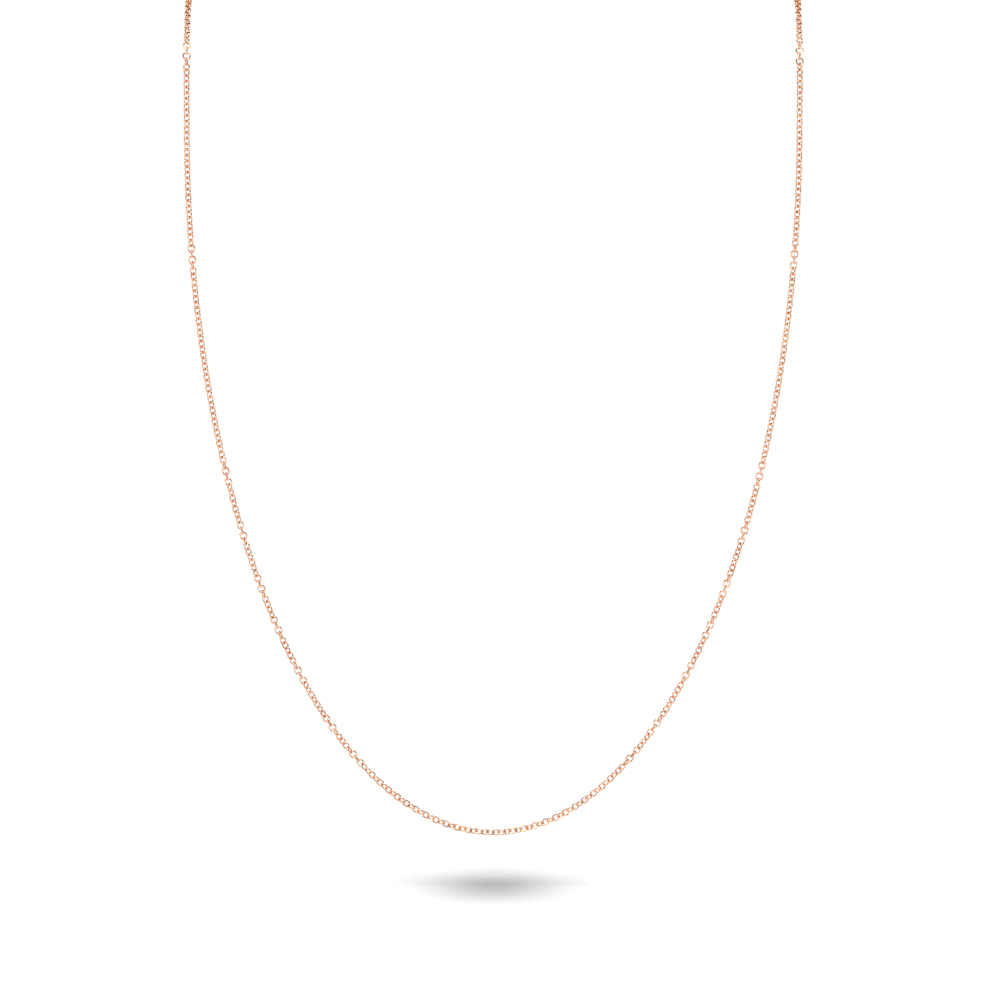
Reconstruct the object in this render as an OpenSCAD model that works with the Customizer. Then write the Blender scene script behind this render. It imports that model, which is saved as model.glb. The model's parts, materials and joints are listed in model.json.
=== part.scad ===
// Cable-chain necklace, fastened, as it is worn: the front hangs free in a
// long U, the chain turns back over the shoulders and meets at a spring-ring
// clasp on the nape. +Z is up, the wearer faces -Y, and the origin is the
// middle of the clasp stretch on the nape.

/* [Chain link] */
// Outer length of a link
link_length = 1.58; // [1.4:0.02:1.8]
// Outer width of a link
link_width = 1.42; // [1.3:0.02:1.5]
// Thickness of the link wire
link_wire = 0.27; // [0.22:0.01:0.3]
// Free play between the wires of two neighbouring links
link_play = 0.04; // [0.02:0.01:0.06]

/* [Chain make-up] */
// Links in one run, the stretch between two modelled hinges
links_per_run = 11; // [9:1:12]
// Runs on each side of the necklace
runs_per_side = 22; // [22:1:24]
// Turn of a link about the chain where the chain lies untwisted
lie_angle = 45; // [30:1:60]
// Turn of a link about the chain at the lowest point of the front
lowest_lie_angle = 27; // [0:1:45]
// Length of chain over which a twisted spot turns in or out
twist_length = 4; // [3:0.5:6]

/* [Drape] */
// Half the width between the two sides of the front
half_width = 53.5; // [50:0.5:56]
// Height of the curved part of the front
curve_height = 124; // [118:1:126]
// Radius of the turn over the shoulder
shoulder_radius = 15; // [12:1:18]
// Distance from the end of the shoulder turn back to the nape
nape_depth = 35; // [30:1:40]

/* [Clasp] */
// Radius of the clasp ring at the middle of its tube
clasp_radius = 2.2; // [2:0.1:2.6]
// Outside diameter of the clasp tube
tube_outer = 1.2; // [1.1:0.05:1.3]
// Wall of the clasp tube
tube_wall = 0.18; // [0.15:0.01:0.2]
// Diameter of the sliding bolt
bolt_wire = 0.72; // [0.6:0.02:0.74]
// Travel of the bolt along the ring, in degrees
bolt_travel = 50; // [40:1:50]
// Turns of the spring behind the bolt
spring_turns = 10; // [8:1:12]

/* [Rings and tag] */
// Wire of the eyelet on the clasp
eyelet_wire = 0.5; // [0.4:0.05:0.5]
// Radius of the eyelet at the middle of its wire
eyelet_radius = 0.75; // [0.7:0.05:0.9]
// Wire of the two jump rings
jump_wire = 0.4; // [0.35:0.05:0.4]
// Radius of a jump ring at the middle of its wire
jump_radius = 0.95; // [0.9:0.05:1.1]
// Wire of the end ring that the clasp hooks
end_ring_wire = 0.5; // [0.4:0.05:0.5]
// Radius of the end ring at the middle of its wire
end_ring_radius = 1.35; // [1.3:0.05:1.6]
// Length of the plain end tag
tag_length = 4.5; // [3:0.5:6]
// Width of the plain end tag
tag_width = 2.0; // [1.6:0.1:2.4]
// Thickness of the plain end tag
tag_thickness = 0.3; // [0.2:0.05:0.4]

/* [Hidden] */
rose_gold = [0.87, 0.62, 0.52];
pale_gold = [0.93, 0.73, 0.64];
steel = [0.72, 0.72, 0.74];
ring_play = 0.05;
fine = 48;

// A link: two half rings of this radius, held apart by two short straight sides
bend_radius = (link_width - link_wire) / 2;
side_length = link_length - link_width;
// Distance from one contact between links to the next
pitch = link_length - 2 * link_wire - link_play;
links_per_side = links_per_run * runs_per_side;

// The clasp stretch lies straight along X. Its parts follow one another
// outwards from the middle of the clasp ring, each hooked in the one before.
eyelet_x = clasp_radius + tube_outer / 2 + eyelet_radius + eyelet_wire / 2 - 0.25;
jump_right_x = eyelet_x + eyelet_radius - (eyelet_wire + jump_wire) / 2 - ring_play + jump_radius;
end_ring_x = -clasp_radius + (tube_outer + end_ring_wire) / 2 + ring_play - end_ring_radius;
jump_left_x = end_ring_x - end_ring_radius + (end_ring_wire + jump_wire) / 2 + ring_play - jump_radius;
// From a jump ring's middle to the contact with the first link
jump_to_chain = jump_radius - (jump_wire + link_wire) / 2 - link_play + (link_wire + link_play) / 2;
right_end = jump_right_x + jump_to_chain;
left_end = jump_left_x - jump_to_chain;
clasp_half = (right_end - left_end) / 2;
clasp_x = -(right_end + left_end) / 2;

// Angles on the clasp ring, from +X towards +Z
mouth_start = 100;
mouth_end = 150;
bolt_tail = 58;
bolt_tip = 158;
lug_angle = 70;
lug_wire = 0.36;
slot_width = 0.44;
seat_start = 290;
seat_angle = 8;
bore = tube_outer - 2 * tube_wall;

// Lengths along the drape, from the lowest point up one side to the clasp
steps = 360;
back_width = half_width - clasp_half;
front_table = arc_table(half_width, curve_height);
back_table = arc_table(nape_depth, back_width);
front_length = front_table[steps][0];
turn_length = shoulder_radius * PI / 2;
back_length = back_table[steps][0];
// The straight sides take up what is left of a whole number of links
rise = links_per_side * pitch - front_length - turn_length - back_length;
front_y = -shoulder_radius - nape_depth;
lowest_z = -curve_height - rise - shoulder_radius;
turn_start = front_length + rise;
back_start = turn_start + turn_length;

// Places where the chain has twisted so that every other link faces forwards,
// as distances from the lowest point, the last one at the clasp
twist_spots = [29, 36, 47, 56, 64, 74, 85, 124, 160, 200, links_per_side * pitch];

run_names = [for (n = [1:runs_per_side]) str(n < 10 ? "0" : "", n)];

// Pairs of [length, angle] along a quarter of an ellipse, from where it
// crosses its half axis q to where it crosses its half axis p
function arc_table(p, q) = [
    for (i = 0, s = 0; i <= steps; s = s + arc_step(p, q, i), i = i + 1)
        [s, 90 * i / steps]
];
function ellipse(p, q, a) = [p * sin(a), q * cos(a)];
function arc_step(p, q, i) =
    norm(ellipse(p, q, 90 * (i + 1) / steps) - ellipse(p, q, 90 * i / steps));

// Point at length s along the right-hand side
function side_point(s) =
    s < front_length
        ? let (a = lookup(s, front_table))
          [half_width * sin(a), front_y, lowest_z + curve_height * (1 - cos(a))]
    : s < turn_start
        ? [half_width, front_y, lowest_z + curve_height + s - front_length]
    : s < back_start
        ? let (a = shoulder_angle(s))
          [half_width, front_y + shoulder_radius * (1 - cos(a)), -shoulder_radius * (1 - sin(a))]
    : let (a = lookup(s - back_start, back_table))
      [clasp_half + back_width * cos(a), -nape_depth * (1 - sin(a)), 0];

// How far the chain has turned back over the shoulder at length s
function shoulder_angle(s) =
    min(max((s - turn_start) / shoulder_radius * 180 / PI, 0), 90);

// Contact number k between links, counted from the lowest point. Left is negative.
function contact(k) =
    let (p = side_point(abs(k) * pitch))
    [sign(k) * p[0], p[1], p[2]];

// How far the chain is twisted at length s, smooth in and out of each spot
function twist(s) =
    let (nearest = min([for (spot = twist_spots) abs(s - spot)]))
    nearest < twist_length ? lie_angle * (1 + cos(180 * nearest / twist_length)) / 2 : 0;
function lie(s) =
    s < twist_length * 2
        ? lowest_lie_angle + (lie_angle - lowest_lie_angle) * s / twist_length / 2 - twist(s)
        : lie_angle - twist(s);

function unit(v) = v / norm(v);

// One link: an oval of round wire, along Z and facing Y
module link() {
    for (end = [0, 180])
        rotate([0, end, 0])
            translate([0, 0, side_length / 2])
                rotate([90, 0, 0])
                    rotate_extrude(angle = 180, $fn = fine)
                        translate([bend_radius, 0])
                            circle(d = link_wire, $fn = 16);
    for (side = [-1, 1])
        translate([side * bend_radius, 0, 0])
            cylinder(h = side_length, d = link_wire, center = true, $fn = 16);
}

// Link number k, between contacts k and k + 1
module placed_link(k) {
    a = contact(k);
    b = contact(k + 1);
    s = abs(k + 0.5) * pitch;
    along = unit(b - a);
    shoulder = shoulder_angle(s);
    // Out of the drape's surface, towards the wearer
    inwards = [0, cos(shoulder), -sin(shoulder)];
    outwards = unit(cross(inwards, along));
    roll = lie(s) + 90 * (k % 2);
    across = outwards * cos(roll) + cross(along, outwards) * sin(roll);
    facing = cross(along, across);
    middle = (a + b) / 2;
    multmatrix([
        for (i = [0:2]) [across[i], facing[i], along[i], middle[i]],
        [0, 0, 0, 1]
    ])
        link();
}

// A run of separate links. Run 1 is next to the clasp, and the last one is lowest.
module run(number, side) {
    first = (runs_per_side - number) * links_per_run;
    color(number % 2 ? rose_gold : pale_gold)
        for (i = [0:links_per_run - 1])
            placed_link(side > 0 ? first + i : -1 - first - i);
}

// A ring of round wire in the XZ plane, from one angle on through a sweep
module wire_ring(radius, wire, from = 0, sweep = 360) {
    rotate([90, 0, 0])
        rotate([0, 0, from])
            rotate_extrude(angle = sweep, $fn = fine)
                translate([radius, 0])
                    circle(d = wire, $fn = 32);
}

// The curved tube, open at the mouth and slotted for the bolt's lug
module clasp_tube() {
    color(rose_gold)
        translate([clasp_x, 0, 0]) {
            difference() {
                wire_ring(clasp_radius, tube_outer, mouth_end, 360 - (mouth_end - mouth_start));
                wire_ring(clasp_radius, bore, mouth_end - 1, 362 - (mouth_end - mouth_start));
                slot();
            }
            // The pinched stretch that the spring bears on
            wire_ring(clasp_radius, bore + tube_wall / 2, seat_start, seat_angle);
        }
}

// The slot runs the bolt's travel, with room for the lug at both ends
module slot() {
    lug_room = 9;
    rotate([90, 0, 0])
        rotate([0, 0, lug_angle - bolt_travel - lug_room])
            rotate_extrude(angle = bolt_travel + 2 * lug_room, $fn = fine)
                translate([clasp_radius + tube_outer / 4, -slot_width / 2])
                    square([tube_outer, slot_width]);
}

// The eyelet, soldered to the outside of the tube opposite the end ring
module clasp_eyelet() {
    foot = 0.5;
    color(rose_gold)
        translate([clasp_x + eyelet_x, 0, 0])
            difference() {
                wire_ring(eyelet_radius, eyelet_wire);
                translate([-eyelet_x, 0, 0])
                    wire_ring(clasp_radius, tube_outer, -foot * 60, foot * 120);
            }
}

// The curved bolt that closes the mouth, with its thumb lug
module clasp_bolt() {
    lug_end = clasp_radius + tube_outer / 2 + 0.5;
    color(pale_gold)
        translate([clasp_x, 0, 0]) {
            wire_ring(clasp_radius, bolt_wire, bolt_tail, bolt_tip - bolt_tail);
            rotate([0, -bolt_tip, 0])
                translate([clasp_radius, 0, 0])
                    sphere(d = bolt_wire, $fn = 32);
            rotate([0, -lug_angle, 0]) {
                translate([clasp_radius, 0, 0])
                    rotate([0, 90, 0])
                        cylinder(h = lug_end - clasp_radius, d = lug_wire, $fn = 32);
                translate([lug_end, 0, 0])
                    sphere(d = lug_wire * 1.7, $fn = 32);
            }
        }
}

// The spring in the tube, from the pinched stretch to the bolt's tail
module clasp_spring() {
    wire = 0.1;
    sides = 5;
    per_turn = 12;
    coil_radius = bore / 2 - wire / 2 - 0.06;
    gap = 3;
    from = seat_start + seat_angle - 360 + gap;
    sweep = bolt_tail - gap - from;
    rings = spring_turns * per_turn;
    points = [
        for (i = [0:rings], j = [0:sides - 1])
            let (
                turn = i * 360 / per_turn,
                place = from + sweep * i / rings,
                r = coil_radius + wire / 2 * cos(j * 360 / sides),
                lean = wire / 2 * sin(j * 360 / sides),
                out = clasp_radius + r * cos(turn)
            )
            [
                clasp_x + out * cos(place) - lean * sin(place),
                r * sin(turn),
                out * sin(place) + lean * cos(place)
            ]
    ];
    walls = [
        for (i = [0:rings - 1], j = [0:sides - 1])
            let (a = i * sides + j, b = i * sides + (j + 1) % sides)
            each [[a, b, b + sides], [a, b + sides, a + sides]]
    ];
    near_end = [for (j = [0:sides - 1]) sides - 1 - j];
    far_end = [for (j = [0:sides - 1]) rings * sides + j];
    color(steel)
        polyhedron(points, concat(walls, [near_end, far_end]), convexity = 10);
}

// A jump ring, bent closed on a fine butt joint
module jump_ring(x, turn) {
    cut = 4;
    color(rose_gold)
        translate([x, 0, 0])
            rotate([turn, 0, 0])
                wire_ring(jump_radius, jump_wire, 60 + cut / 2, 360 - cut);
}
module jump_ring_right() jump_ring(clasp_x + jump_right_x, 90);
module jump_ring_left() jump_ring(clasp_x + jump_left_x, 0);

// The closed ring that the clasp hooks
module end_ring() {
    color(rose_gold)
        translate([clasp_x + end_ring_x, 0, 0])
            rotate([90, 0, 0])
                wire_ring(end_ring_radius, end_ring_wire);
}

// The plain tag, hanging from the back of the right jump ring
module end_tag() {
    hole = jump_wire + 4 * ring_play;
    rim = 0.45;
    top = hole / 2 - jump_wire / 2 - ring_play;
    round_end = tag_width / 2;
    color(pale_gold)
        translate([clasp_x + jump_right_x, jump_radius, -top])
            rotate([0, 90, 0])
                difference() {
                    union() {
                        cylinder(h = tag_thickness, r = hole / 2 + rim, center = true, $fn = fine);
                        translate([round_end + hole / 2, 0, 0])
                            cylinder(h = tag_thickness, r = round_end, center = true, $fn = fine);
                        translate([round_end + hole / 2, -round_end, -tag_thickness / 2])
                            cube([tag_length - tag_width - hole, tag_width, tag_thickness]);
                        translate([tag_length - round_end, 0, 0])
                            cylinder(h = tag_thickness, r = round_end, center = true, $fn = fine);
                    }
                    cylinder(h = 2 * tag_thickness, d = hole, center = true, $fn = fine);
                }
}

clasp_tube();
clasp_eyelet();
clasp_bolt();
clasp_spring();
jump_ring_right();
jump_ring_left();
end_ring();
end_tag();
for (n = [1:runs_per_side]) {
    run(n, 1);
    run(n, -1);
}
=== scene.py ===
import json
import math

import bpy
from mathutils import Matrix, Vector


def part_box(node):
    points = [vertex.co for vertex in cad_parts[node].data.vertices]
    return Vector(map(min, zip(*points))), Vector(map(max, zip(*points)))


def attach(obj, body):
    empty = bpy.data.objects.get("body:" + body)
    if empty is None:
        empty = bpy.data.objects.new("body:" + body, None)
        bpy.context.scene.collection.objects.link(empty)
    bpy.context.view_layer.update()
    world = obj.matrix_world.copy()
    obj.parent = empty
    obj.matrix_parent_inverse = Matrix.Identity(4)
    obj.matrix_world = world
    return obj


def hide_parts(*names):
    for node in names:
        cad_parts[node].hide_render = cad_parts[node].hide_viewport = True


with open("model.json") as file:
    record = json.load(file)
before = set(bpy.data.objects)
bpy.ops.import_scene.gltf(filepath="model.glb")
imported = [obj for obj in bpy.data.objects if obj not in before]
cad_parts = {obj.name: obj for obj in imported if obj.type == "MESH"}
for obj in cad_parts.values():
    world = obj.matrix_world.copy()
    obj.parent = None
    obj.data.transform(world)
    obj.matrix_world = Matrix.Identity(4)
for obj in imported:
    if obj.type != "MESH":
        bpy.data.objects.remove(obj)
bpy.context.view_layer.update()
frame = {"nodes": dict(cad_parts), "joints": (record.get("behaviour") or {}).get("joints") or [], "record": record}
mm = 0.001
joints = {joint["name"]: joint for joint in frame["joints"]}
mounts = {mount["name"]: mount for mount in frame["record"]["mounts"]}


# Small helpers for building node trees

def addNode(tree, kind, inputs=None, **settings):
    node = tree.nodes.new(kind)
    for key, value in settings.items():
        setattr(node, key, value)
    for key, value in (inputs or {}).items():
        node.inputs[key].default_value = value
    return node


def wire(tree, *pairs):
    for output, socket in pairs:
        tree.links.new(output, socket)


def newObject(name, data):
    obj = bpy.data.objects.new(name, data)
    bpy.context.scene.collection.objects.link(obj)
    return obj


# Rose gold and steel

polish = {
    "chainGold": {
        "bright": (0.95, 0.57, 0.37), "deep": (0.86, 0.42, 0.24), "roughLow": 0.10, "roughHigh": 0.24,
        "toneSize": 2.2, "scratchSize": 0.09, "scratchDepth": 0.0012,
    },
    "claspGold": {
        "bright": (0.95, 0.62, 0.44), "deep": (0.88, 0.49, 0.31), "roughLow": 0.12, "roughHigh": 0.26,
        "toneSize": 1.6, "scratchSize": 0.12, "scratchDepth": 0.0016,
    },
    "springSteel": {
        "bright": (0.74, 0.74, 0.75), "deep": (0.52, 0.52, 0.54), "roughLow": 0.18, "roughHigh": 0.34,
        "toneSize": 0.6, "scratchSize": 0.05, "scratchDepth": 0.001,
    },
}
solder = {"colour": (0.95, 0.78, 0.66), "strength": 0.5}
linkTones = (0.9, 1.08)     # brightness of the darkest link and of the brightest


def metal(name, look, soldered=False):
    mat = bpy.data.materials.new(name)
    mat.use_nodes = True
    tree = mat.node_tree
    shader = tree.nodes["Principled BSDF"]
    shader.inputs["Metallic"].default_value = 1.0
    place = addNode(tree, "ShaderNodeTexCoord").outputs["Object"]

    # Soft clouds of tone, as plating has where a cloth has been over it more often
    cloud = addNode(tree, "ShaderNodeTexNoise", {"Scale": 1 / (look["toneSize"] * mm), "Detail": 3.0})
    tone = addNode(tree, "ShaderNodeValToRGB")
    tone.color_ramp.elements[0].position = 0.32
    tone.color_ramp.elements[1].position = 0.68
    tone.color_ramp.elements[0].color = (*look["deep"], 1)
    tone.color_ramp.elements[1].color = (*look["bright"], 1)

    # Fine polishing lines, stretched so that they run one way
    stretch = addNode(tree, "ShaderNodeMapping")
    stretch.inputs["Scale"].default_value = (1.0, 0.35, 0.18)
    lines = addNode(tree, "ShaderNodeTexNoise", {"Scale": 1 / (look["scratchSize"] * mm), "Detail": 4.0})
    gloss = addNode(tree, "ShaderNodeMapRange")
    gloss.inputs["From Min"].default_value = 0.35
    gloss.inputs["From Max"].default_value = 0.70
    gloss.inputs["To Min"].default_value = look["roughLow"]
    gloss.inputs["To Max"].default_value = look["roughHigh"]
    bump = addNode(tree, "ShaderNodeBump", {"Strength": 0.35, "Distance": look["scratchDepth"] * mm})
    wire(
        tree,
        (place, cloud.inputs["Vector"]),
        (cloud.outputs["Fac"], tone.inputs["Fac"]),
        (place, stretch.inputs["Vector"]),
        (stretch.outputs["Vector"], lines.inputs["Vector"]),
        (lines.outputs["Fac"], gloss.inputs["Value"]),
        (gloss.outputs["Result"], shader.inputs["Roughness"]),
        (lines.outputs["Fac"], bump.inputs["Height"]),
        (bump.outputs["Normal"], shader.inputs["Normal"]),
    )
    colour = tone.outputs["Color"]
    if soldered:
        # Each link differs a little in tone, and its solder joint is paler
        own = addNode(tree, "ShaderNodeAttribute", attribute_name="linkTone")
        shift = addNode(tree, "ShaderNodeHueSaturation")
        spread = addNode(tree, "ShaderNodeMapRange")
        spread.inputs["To Min"].default_value, spread.inputs["To Max"].default_value = linkTones
        seam = addNode(tree, "ShaderNodeAttribute", attribute_name="solderSeam")
        pale = addNode(tree, "ShaderNodeMix", data_type="RGBA")
        pale.inputs["B"].default_value = (*solder["colour"], 1)
        faint = addNode(tree, "ShaderNodeMath", {1: solder["strength"]}, operation="MULTIPLY")
        wire(
            tree,
            (own.outputs["Fac"], spread.inputs["Value"]),
            (spread.outputs["Result"], shift.inputs["Value"]),
            (colour, shift.inputs["Color"]),
            (shift.outputs["Color"], pale.inputs["A"]),
            (seam.outputs["Fac"], faint.inputs[0]),
            (faint.outputs["Value"], pale.inputs["Factor"]),
        )
        colour = pale.outputs["Result"]
    wire(tree, (colour, shader.inputs["Base Color"]))
    return mat


chainGold = metal("chainGold", polish["chainGold"], soldered=True)
claspGold = metal("claspGold", polish["claspGold"])
springSteel = metal("springSteel", polish["springSteel"])
print("Metals: rose gold for the links and the clasp, bright steel for the spring")


# The drape: where every pair of links touches

drape = {
    "halfWidth": 53.5,       # half the distance between the two sides
    "curveHeight": 124.0,    # height of the rounded part of the front
    "shoulderRadius": 15.0,
    "napeDepth": 35.0,       # from the end of the shoulder turn back to the nape
    "pitch": 1.0,            # from one contact between links to the next
    "linksPerRun": 11,
    "runsPerSide": 22,
    "lie": 45.0,             # turn of a link about the chain, in degrees
    "lowestLie": 27.0,
    "twistLength": 4.0,
    "twists": [29, 36, 47, 56, 64, 74, 85, 124, 160, 200],
}
claspHalf = joints["ring_swing"]["pos_m"][0] / mm
lowestPoint = Vector(mounts["pendant_seat"]["pos_m"]) / mm
linksPerSide = drape["linksPerRun"] * drape["runsPerSide"]
arcSteps = 360


def arcTable(alongHalf, acrossHalf):
    table = [(0.0, 0.0)]
    length = 0.0
    for step in range(arcSteps):
        a, b = (math.radians(90 * (step + i) / arcSteps) for i in (0, 1))
        along = alongHalf * (math.sin(b) - math.sin(a))
        across = acrossHalf * (math.cos(b) - math.cos(a))
        length += math.hypot(along, across)
        table.append((length, b))
    return table


def lookUp(length, table):
    step = min(int(length / table[-1][0] * arcSteps), arcSteps - 1)
    while step > 0 and table[step][0] > length:
        step -= 1
    while step < arcSteps - 1 and table[step + 1][0] < length:
        step += 1
    (low, a), (high, b) = table[step], table[step + 1]
    return a + (b - a) * (length - low) / (high - low)


backWidth = drape["halfWidth"] - claspHalf
frontTable = arcTable(drape["halfWidth"], drape["curveHeight"])
backTable = arcTable(drape["napeDepth"], backWidth)
turnLength = drape["shoulderRadius"] * math.pi / 2
turnStart = linksPerSide * drape["pitch"] - turnLength - backTable[-1][0]
backStart = turnStart + turnLength


def shoulderTurn(s):
    return min(max((s - turnStart) / drape["shoulderRadius"], 0), math.pi / 2)


def sidePoint(s):
    if s < frontTable[-1][0]:
        a = lookUp(s, frontTable)
        return Vector((
            drape["halfWidth"] * math.sin(a),
            lowestPoint.y,
            lowestPoint.z + drape["curveHeight"] * (1 - math.cos(a)),
        ))
    if s < turnStart:
        rise = s - frontTable[-1][0]
        return Vector((drape["halfWidth"], lowestPoint.y, lowestPoint.z + drape["curveHeight"] + rise))
    if s < backStart:
        a = shoulderTurn(s)
        return Vector((
            drape["halfWidth"],
            lowestPoint.y + drape["shoulderRadius"] * (1 - math.cos(a)),
            -drape["shoulderRadius"] * (1 - math.sin(a)),
        ))
    a = lookUp(s - backStart, backTable)
    return Vector((claspHalf + backWidth * math.cos(a), -drape["napeDepth"] * (1 - math.sin(a)), 0))


def contactPoint(k):
    point = sidePoint(abs(k) * drape["pitch"])
    return Vector((math.copysign(point.x, k) if k else 0.0, point.y, point.z))


def lieAngle(s):
    nearest = min(abs(s - spot) for spot in drape["twists"] + [linksPerSide * drape["pitch"]])
    twist = 0.0
    if nearest < drape["twistLength"]:
        twist = drape["lie"] * (1 + math.cos(math.pi * nearest / drape["twistLength"])) / 2
    settle = min(s / drape["twistLength"] / 2, 1)
    return drape["lowestLie"] + (drape["lie"] - drape["lowestLie"]) * settle - twist


def acrossLink(k):
    s = abs(k + 0.5) * drape["pitch"]
    along = (contactPoint(k + 1) - contactPoint(k)).normalized()
    turn = shoulderTurn(s)
    outwards = Vector((0, math.cos(turn), -math.sin(turn))).cross(along).normalized()
    roll = math.radians(lieAngle(s) + 90 * (k % 2))
    return outwards * math.cos(roll) + along.cross(outwards) * math.sin(roll)


# The links: one oval of soldered wire, set between each pair of contacts

link = {
    "Link Length": 1.58,
    "Link Width": 1.42,
    "Wire Thickness": 0.27,
    "Points Round Link": 12,
    "Sides Of Wire": 6,
    "Solder Swell": 1.07,
    "Tone Seed": 11,
}
cornerReach = 0.53          # of the wire's thickness: corners just outside it, flats just inside
sameHeight = 0.00001        # metres: points nearer the middle than this stay there


def linkTree():
    tree = bpy.data.node_groups.new("strungLinks", "GeometryNodeTree")
    face = tree.interface
    face.new_socket("Contacts", in_out="INPUT", socket_type="NodeSocketGeometry")
    for name in ("Link Length", "Link Width", "Wire Thickness"):
        face.new_socket(name, in_out="INPUT", socket_type="NodeSocketFloat").subtype = "DISTANCE"
    face.new_socket("Solder Swell", in_out="INPUT", socket_type="NodeSocketFloat")
    for name in ("Points Round Link", "Sides Of Wire", "Tone Seed"):
        face.new_socket(name, in_out="INPUT", socket_type="NodeSocketInt")
    face.new_socket("Metal", in_out="INPUT", socket_type="NodeSocketMaterial")
    face.new_socket("Links", in_out="OUTPUT", socket_type="NodeSocketGeometry")
    given = addNode(tree, "NodeGroupInput").outputs
    made = addNode(tree, "NodeGroupOutput").inputs

    def maths(operation, *values):
        node = addNode(tree, "ShaderNodeMath", operation=operation)
        for socket, value in zip(node.inputs, values):
            if isinstance(value, (int, float)):
                socket.default_value = value
            else:
                tree.links.new(value, socket)
        return node.outputs[0]

    # The oval centre line of the wire, in the XZ plane: two half circles and two short straight sides
    bend = maths("MULTIPLY", maths("SUBTRACT", given["Link Width"], given["Wire Thickness"]), 0.5)
    straight = maths("MULTIPLY", maths("SUBTRACT", given["Link Length"], given["Link Width"]), 0.5)
    ring = addNode(tree, "GeometryNodeCurvePrimitiveCircle", mode="RADIUS")
    where = addNode(tree, "ShaderNodeSeparateXYZ")
    whichEnd = maths("SIGN", maths("SNAP", where.outputs["Y"], sameHeight))
    shove = addNode(tree, "ShaderNodeCombineXYZ")
    stretch = addNode(tree, "GeometryNodeSetPosition")
    stand = addNode(tree, "GeometryNodeTransform")
    stand.inputs["Rotation"].default_value = (math.pi / 2, 0, 0)
    wire(
        tree,
        (given["Points Round Link"], ring.inputs["Resolution"]),
        (bend, ring.inputs["Radius"]),
        (addNode(tree, "GeometryNodeInputPosition").outputs[0], where.inputs[0]),
        (maths("MULTIPLY", whichEnd, straight), shove.inputs["Y"]),
        (ring.outputs["Curve"], stretch.inputs["Geometry"]),
        (shove.outputs[0], stretch.inputs["Offset"]),
        (stretch.outputs[0], stand.inputs["Geometry"]),
    )

    # The solder joint: the first point of the ring, where the wire's two ends meet
    atSeam = addNode(tree, "FunctionNodeCompare", data_type="INT", operation="EQUAL")
    thick = addNode(tree, "GeometryNodeSwitch", input_type="FLOAT")
    thick.inputs["False"].default_value = 1.0
    swell = addNode(tree, "GeometryNodeSetCurveRadius")
    marked = addNode(tree, "GeometryNodeStoreNamedAttribute", data_type="FLOAT", domain="POINT")
    marked.inputs["Name"].default_value = "solderSeam"
    section = addNode(tree, "GeometryNodeCurvePrimitiveCircle", mode="RADIUS")
    tube = addNode(tree, "GeometryNodeCurveToMesh")
    smooth = addNode(tree, "GeometryNodeSetShadeSmooth")
    wire(
        tree,
        (addNode(tree, "GeometryNodeInputIndex").outputs[0], atSeam.inputs[2]),
        (atSeam.outputs[0], thick.inputs["Switch"]),
        (given["Solder Swell"], thick.inputs["True"]),
        (stand.outputs[0], swell.inputs["Curve"]),
        (thick.outputs[0], swell.inputs["Radius"]),
        (swell.outputs[0], marked.inputs["Geometry"]),
        (atSeam.outputs[0], marked.inputs["Value"]),
        (marked.outputs[0], tube.inputs["Curve"]),
        (given["Sides Of Wire"], section.inputs["Resolution"]),
        (maths("MULTIPLY", given["Wire Thickness"], cornerReach), section.inputs["Radius"]),
        (section.outputs["Curve"], tube.inputs["Profile Curve"]),
        (tube.outputs[0], smooth.inputs["Geometry"]),
    )

    # One link on each edge of the contact line, its length along the edge, and turned by "acrossLink"
    ends = addNode(tree, "GeometryNodeInputMeshEdgeVertices")
    along = addNode(tree, "ShaderNodeVectorMath", operation="SUBTRACT")
    keep = addNode(tree, "GeometryNodeCaptureAttribute", domain="EDGE")
    keep.capture_items.new("VECTOR", "Along")
    middles = addNode(tree, "GeometryNodeMeshToPoints", mode="EDGES")
    across = addNode(tree, "GeometryNodeInputNamedAttribute", data_type="FLOAT_VECTOR")
    across.inputs["Name"].default_value = "acrossLink"
    point = addNode(tree, "FunctionNodeAlignRotationToVector", axis="Z")
    roll = addNode(tree, "FunctionNodeAlignRotationToVector", axis="X", pivot_axis="Z")
    string = addNode(tree, "GeometryNodeInstanceOnPoints")
    wire(
        tree,
        (ends.outputs["Position 2"], along.inputs[0]),
        (ends.outputs["Position 1"], along.inputs[1]),
        (given["Contacts"], keep.inputs["Geometry"]),
        (along.outputs[0], keep.inputs["Along"]),
        (keep.outputs["Geometry"], middles.inputs["Mesh"]),
        (keep.outputs["Along"], point.inputs["Vector"]),
        (point.outputs["Rotation"], roll.inputs["Rotation"]),
        (across.outputs["Attribute"], roll.inputs["Vector"]),
        (middles.outputs["Points"], string.inputs["Points"]),
        (smooth.outputs[0], string.inputs["Instance"]),
        (roll.outputs["Rotation"], string.inputs["Rotation"]),
    )

    # A tone of its own for each link
    chance = addNode(tree, "FunctionNodeRandomValue", data_type="FLOAT")
    toned = addNode(tree, "GeometryNodeStoreNamedAttribute", data_type="FLOAT", domain="INSTANCE")
    toned.inputs["Name"].default_value = "linkTone"
    real = addNode(tree, "GeometryNodeRealizeInstances")
    coat = addNode(tree, "GeometryNodeSetMaterial")
    wire(
        tree,
        (given["Tone Seed"], chance.inputs["Seed"]),
        (string.outputs[0], toned.inputs["Geometry"]),
        (chance.outputs[1], toned.inputs["Value"]),
        (toned.outputs[0], real.inputs["Geometry"]),
        (real.outputs[0], coat.inputs["Geometry"]),
        (given["Metal"], coat.inputs["Material"]),
        (coat.outputs[0], made["Links"]),
    )
    return tree


def plainMesh(obj, name):
    ready = obj.evaluated_get(bpy.context.evaluated_depsgraph_get())
    mesh = bpy.data.meshes.new_from_object(ready)
    mesh.name = name
    bpy.data.objects.remove(obj)
    return mesh


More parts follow.
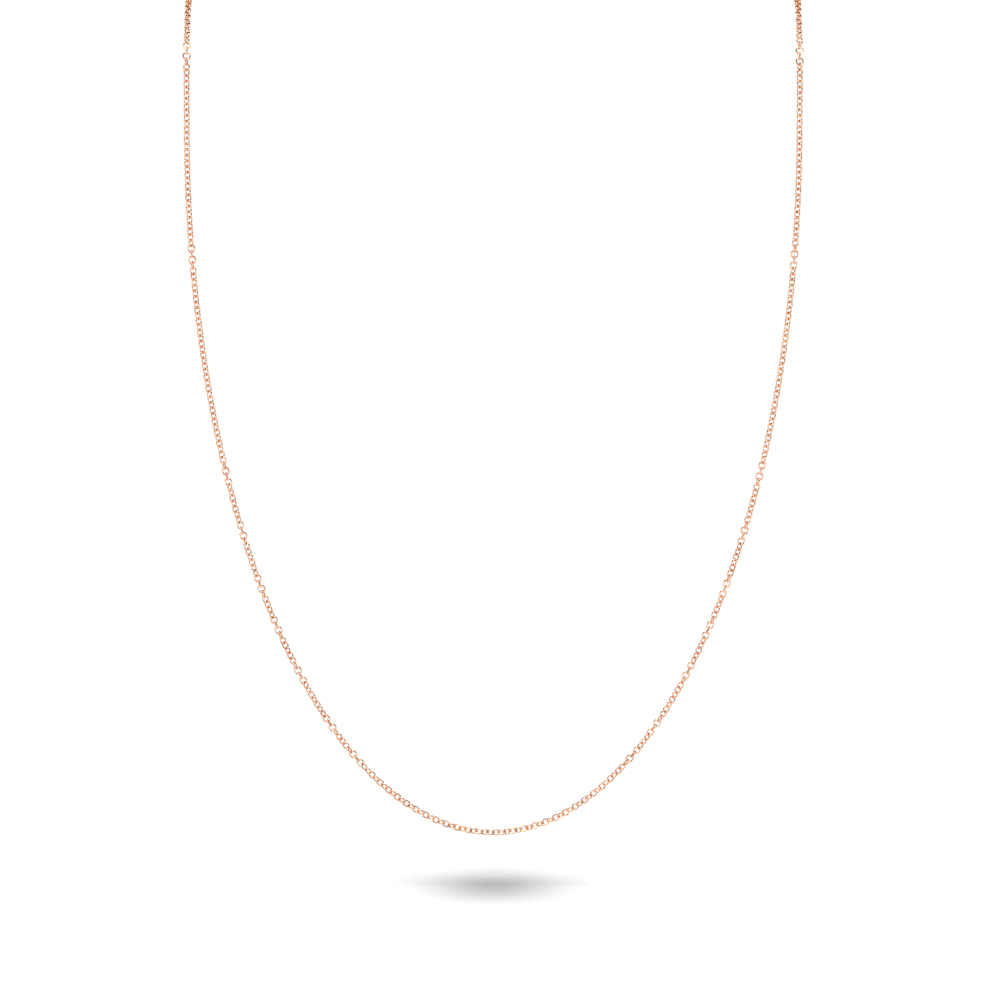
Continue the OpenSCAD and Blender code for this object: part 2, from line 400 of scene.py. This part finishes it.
def stringRun(tree, name, firstContact, side, seed):
    count = drape["linksPerRun"]
    line = [contactPoint(side * (firstContact + i)) * mm for i in range(count + 1)]
    mesh = bpy.data.meshes.new(name + "Line")
    mesh.from_pydata(line, [(i, i + 1) for i in range(count)], [])
    turn = mesh.attributes.new("acrossLink", "FLOAT_VECTOR", "EDGE")
    for i in range(count):
        turn.data[i].vector = acrossLink(firstContact + i if side > 0 else -1 - firstContact - i)
    threaded = newObject(name + "Line", mesh)
    modifier = threaded.modifiers.new("strungLinks", "NODES")
    modifier.node_group = tree
    for item in tree.interface.items_tree:
        if item.in_out != "INPUT" or item.socket_type == "NodeSocketGeometry":
            continue
        if item.name == "Metal":
            modifier[item.identifier] = chainGold
        elif item.name == "Tone Seed":
            modifier[item.identifier] = seed
        elif item.name in ("Link Length", "Link Width", "Wire Thickness"):
            modifier[item.identifier] = link[item.name] * mm
        else:
            modifier[item.identifier] = link[item.name]
    return newObject(name, plainMesh(threaded, name))


linksTree = linkTree()
worstGap = 0.0
chainPieces = []
for side, word in ((1, "right"), (-1, "left")):
    for number in range(1, drape["runsPerSide"] + 1):
        body = "%s_run_%02d" % (word, number)
        first = (drape["runsPerSide"] - number) * drape["linksPerRun"]
        name = "links_%s_%02d" % (word, number)
        piece = stringRun(linksTree, name, first, side, link["Tone Seed"] + number)
        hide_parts(body)
        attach(piece, body)
        chainPieces.append(piece)
        low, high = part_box(body)
        for axis in range(3):
            values = [v.co[axis] for v in piece.data.vertices]
            worstGap = max(worstGap, abs(min(values) - low[axis]), abs(max(values) - high[axis]))
print("Chain: %d links of %d faces, their boxes within %.3f mm of their CAD runs'" % (
    2 * linksPerSide, len(chainPieces[0].data.polygons) // drape["linksPerRun"], worstGap / mm))


# The clasp, its rings and the tag keep their CAD shapes

finishes = {
    "clasp_tube": claspGold, "clasp_eyelet": claspGold, "clasp_bolt": claspGold,
    "jump_ring_right": claspGold, "jump_ring_left": claspGold, "end_ring": claspGold,
    "end_tag": claspGold, "clasp_spring": springSteel,
}
for node, metalOfNode in finishes.items():
    part = frame["nodes"][node].data
    part.materials.clear()
    part.materials.append(metalOfNode)
print("Clasp: %d parts finished" % len(finishes))


# The stage: a plain pale floor, with plain white all round it

stage = {
    "floorDrop": 9.6,        # gap under the lowest link
    "floorRadius": 9000.0,
    "floorTone": 0.96,
    "whiteBehind": 1.0,      # what the camera sees past the floor
    "roomLight": 0.16,       # what the metal and the floor get from the room
}
floorHeight = lowestPoint.z - stage["floorDrop"]


def paper():
    mat = bpy.data.materials.new("palePaper")
    mat.use_nodes = True
    tree = mat.node_tree
    shader = tree.nodes["Principled BSDF"]
    shader.inputs["Roughness"].default_value = 0.9
    shader.inputs["Specular IOR Level"].default_value = 0.1
    grain = addNode(tree, "ShaderNodeTexNoise", {"Scale": 900.0, "Detail": 2.0})
    tone = addNode(tree, "ShaderNodeMapRange")
    tone.inputs["To Min"].default_value = stage["floorTone"] - 0.005
    tone.inputs["To Max"].default_value = stage["floorTone"] + 0.005
    grey = addNode(tree, "ShaderNodeCombineColor")
    wire(
        tree,
        (addNode(tree, "ShaderNodeTexCoord").outputs["Object"], grain.inputs["Vector"]),
        (grain.outputs["Fac"], tone.inputs["Value"]),
        *[(tone.outputs["Result"], grey.inputs[i]) for i in range(3)],
        (grey.outputs[0], shader.inputs["Base Color"]),
    )
    return mat


def oval(halfWidth, halfDepth, corners=48):
    angles = [math.tau * i / corners for i in range(corners)]
    return [Vector((halfWidth * math.cos(a), halfDepth * math.sin(a), 0)) * mm for a in angles]


def layFloor():
    mesh = bpy.data.meshes.new("paperFloor")
    rim = oval(stage["floorRadius"], stage["floorRadius"])
    mesh.from_pydata(rim, [], [range(len(rim))])
    mesh.materials.append(paper())
    sheet = newObject("paperFloor", mesh)
    sheet.location.z = floorHeight * mm


layFloor()


# A hidden dark sheet just over the floor, denser in the middle: it lays a painted shadow, a soft shade on the
# floor under the chain

shadowSheet = {
    "gap": 1.5,              # over the floor
    "wide": 8.3,             # how far the shade spreads to each side
    "deep": 8.6,             # and towards the camera and away from it
    "density": 0.52,
    "forward": 1.2,          # towards the camera from under the chain
    "edge": 3.6,             # where the gauze ends, in spreads
}


def shadowSheetMaterial():
    mat = bpy.data.materials.new("paintedShadowSheet")
    mat.use_nodes = True
    tree = mat.node_tree
    tree.nodes.clear()
    spread = addNode(tree, "ShaderNodeMapping")
    spread.inputs["Scale"].default_value = (1 / (shadowSheet["wide"] * mm), 1 / (shadowSheet["deep"] * mm), 0)
    reach = addNode(tree, "ShaderNodeVectorMath", operation="DOT_PRODUCT")
    fall = addNode(tree, "ShaderNodeMath", {1: -0.5}, operation="MULTIPLY")
    bell = addNode(tree, "ShaderNodeMath", operation="EXPONENT")
    thick = addNode(tree, "ShaderNodeMath", {1: shadowSheet["density"]}, operation="MULTIPLY")
    either = addNode(tree, "ShaderNodeMixShader")
    wire(
        tree,
        (addNode(tree, "ShaderNodeTexCoord").outputs["Object"], spread.inputs["Vector"]),
        (spread.outputs["Vector"], reach.inputs[0]),
        (spread.outputs["Vector"], reach.inputs[1]),
        (reach.outputs["Value"], fall.inputs[0]),
        (fall.outputs["Value"], bell.inputs[0]),
        (bell.outputs["Value"], thick.inputs[0]),
        (thick.outputs["Value"], either.inputs[0]),
        # Black where dense, clear towards the rim: the painted shadow's soft falloff
        (addNode(tree, "ShaderNodeBsdfTransparent").outputs[0], either.inputs[1]),
        (addNode(tree, "ShaderNodeBsdfDiffuse", {"Color": (0, 0, 0, 1)}).outputs[0], either.inputs[2]),
        (either.outputs[0], addNode(tree, "ShaderNodeOutputMaterial").inputs["Surface"]),
    )
    return mat


def hangShadowSheet():
    mesh = bpy.data.meshes.new("paintedShadowSheet")
    rim = oval(shadowSheet["edge"] * shadowSheet["wide"], shadowSheet["edge"] * shadowSheet["deep"])
    mesh.from_pydata(rim, [], [range(len(rim))])
    mesh.materials.append(shadowSheetMaterial())
    sheet = newObject("paintedShadowSheet", mesh)
    sheet.location = Vector((0, lowestPoint.y - shadowSheet["forward"], floorHeight + shadowSheet["gap"])) * mm
    # Hidden from the camera and from the metal's reflections, so only its painted shadow on the floor is seen
    sheet.visible_camera = False
    sheet.visible_glossy = False


hangShadowSheet()


# The light: one broad lamp overhead, two tall boxes at the sides, and the room

sky = {
    "strength": 2.95,
    "spread": 44.0,          # how soft its shadow is, in degrees
    "lean": (14.0, -6.0),    # towards the camera and to the left, in degrees
}
boxes = {
    # name: place in mm, size in mm, watts
    "leftBox": ((-700, -600, 60), (220, 900), 2.6),
    "rightBox": ((760, -500, 40), (160, 900), 1.8),
}
lookAt = Vector((0, lowestPoint.y, lowestPoint.z + 70)) * mm     # the middle of the front


def hang(name, kind, strength):
    lamp = bpy.data.lights.new(name, kind)
    lamp.energy = strength
    return lamp, newObject(name, lamp)


overhead, holder = hang("overhead", "SUN", sky["strength"])
overhead.angle = math.radians(sky["spread"])
holder.rotation_euler = tuple(math.radians(angle) for angle in (*sky["lean"], 0))
for name, (place, size, watts) in boxes.items():
    lamp, holder = hang(name, "AREA", watts)
    lamp.shape = "RECTANGLE"
    lamp.size, lamp.size_y = size[0] * mm, size[1] * mm
    holder.location = Vector(place) * mm
    holder.rotation_euler = (lookAt - holder.location).to_track_quat("-Z", "Y").to_euler()

world = bpy.data.worlds.new("studio")
world.use_nodes = True
room = world.node_tree
seen = addNode(room, "ShaderNodeBackground", {"Strength": stage["whiteBehind"], "Color": (1, 1, 1, 1)})
unseen = addNode(room, "ShaderNodeBackground", {"Strength": stage["roomLight"], "Color": (1, 1, 1, 1)})
either = addNode(room, "ShaderNodeMixShader")
wire(
    room,
    (addNode(room, "ShaderNodeLightPath").outputs["Is Camera Ray"], either.inputs[0]),
    (unseen.outputs[0], either.inputs[1]),
    (seen.outputs[0], either.inputs[2]),
    (either.outputs[0], room.nodes["World Output"].inputs["Surface"]),
)
bpy.context.scene.world = world
bpy.context.scene.view_settings.view_transform = "Standard"

view = {
    "width": 176.0,          # what the frame spans at the front of the chain
    "distance": 1500.0,
    "elevation": 10.2,       # degrees above the horizon
    "aimAbove": 58.9,        # above the lowest point
    "aimAside": 1.2,
}
tilt = math.radians(view["elevation"])
aim = Vector((view["aimAside"], lowestPoint.y, lowestPoint.z + view["aimAbove"] / math.cos(tilt)))
cameraData = bpy.data.cameras.new("camera")
cameraData.lens = cameraData.sensor_width / 2 / (view["width"] / 2 / view["distance"])
camera = newObject("camera", cameraData)
camera.location = (aim + Vector((0, -math.cos(tilt), math.sin(tilt))) * view["distance"]) * mm
camera.rotation_euler = (math.pi / 2 - tilt, 0, 0)
cameraData.clip_start, cameraData.clip_end = 0.05, 20.0
bpy.context.scene.camera = camera
print("Stage, light and camera ready")
